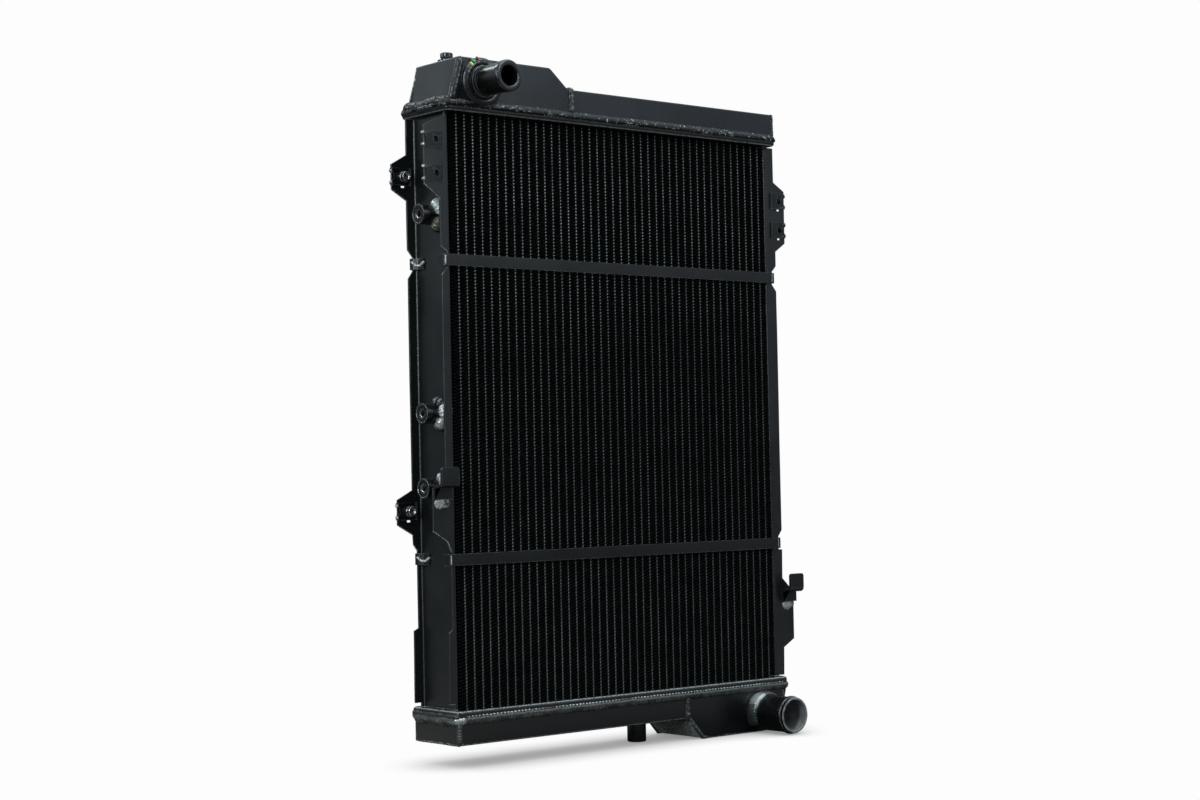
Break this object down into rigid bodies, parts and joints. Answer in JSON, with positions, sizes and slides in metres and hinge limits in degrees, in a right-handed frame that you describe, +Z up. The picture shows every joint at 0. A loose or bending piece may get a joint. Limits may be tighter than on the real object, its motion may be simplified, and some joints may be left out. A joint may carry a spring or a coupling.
{
  "type": "hydraulic oil cooler",
  "caption": "Upright tube-and-fin oil cooler with welded sheet tanks, folded side channels, hose necks at opposite corners, a bleed screw and clip-nut fixings.",
  "frame": {"origin": "centre of the overall box, on the plane under the sump and the locating pin", "axes": "+Z up from the lower tank to the upper tank, +Y from the hose necks to the rear, +X from the inlet end to the outlet end"},
  "size_m": [0.492, 0.1264, 0.7066],
  "materials": {
    "core_black": "thin matt black coating on brazed aluminium tubes and fins",
    "header_black": "satin black coating on aluminium sheet",
    "tank_black": "satin black coating on welded aluminium sheet",
    "channel_black": "satin black coating on folded aluminium sheet",
    "strap_black": "satin black coating on aluminium strip",
    "fitting_black": "satin black coating on machined aluminium",
    "outlet_grey": "satin dark grey coating on aluminium tube",
    "clip_steel": "black-phosphated spring steel, a little glossy",
    "rubber": "matt black rubber"
  },
  "bodies": {
    "cooler": {"bleed_boss": "fitting_black", "core_matrix": "core_black", "front_lower_strap": "strap_black", "front_upper_strap": "strap_black", "inlet_neck": "fitting_black", "inlet_o_ring": "rubber", "left_front_lower_clip": "clip_steel", "left_front_lower_nut": "clip_steel", "left_front_upper_clip": "clip_steel", "left_front_upper_nut": "clip_steel", "left_hook_bracket": "strap_black", "left_rear_lower_clip": "clip_steel", "left_rear_lower_nut": "clip_steel", "left_rear_upper_clip": "clip_steel", "left_rear_upper_nut": "clip_steel", "left_side_channel": "channel_black", "locating_pin": "fitting_black", "lower_header_plate": "header_black", "lower_left_end_plate": "tank_black", "lower_main_shell": "tank_black", "lower_right_end_plate": "tank_black", "lower_sump_shell": "tank_black", "outlet_neck": "outlet_grey", "rear_lower_strap": "strap_black", "rear_upper_strap": "strap_black", "right_front_lower_clip": "clip_steel", "right_front_lower_nut": "clip_steel", "right_front_upper_clip": "clip_steel", "right_front_upper_nut": "clip_steel", "right_hook_bracket": "strap_black", "right_side_channel": "channel_black", "side_boss_lower": "fitting_black", "side_boss_middle": "fitting_black", "side_boss_upper": "fitting_black", "upper_header_plate": "header_black", "upper_left_end_plate": "tank_black", "upper_low_shell": "tank_black", "upper_right_end_plate": "tank_black", "upper_tall_shell": "tank_black"},
    "bleed_ring": {"bleed_seal": "rubber"},
    "bleed_screw": {"bleed_plug": "fitting_black"}
  },
  "joints": [
    {"name": "bleed_screw_lift", "type": "slide", "parent": "cooler", "child": "bleed_ring", "axis": [0, 0, 1], "range_m": [0, 0.006]},
    {"name": "bleed_screw_turn", "type": "hinge", "parent": "bleed_ring", "child": "bleed_screw", "pos_m": [-0.187, 0.03375, 0.7001], "axis": [0, 0, 1], "range_deg": [0, 1445]}
  ],
  "couplings": [
    {"joint": "bleed_screw_turn", "follows": "bleed_screw_lift", "rad_per_m": 4188.8}
  ]
}
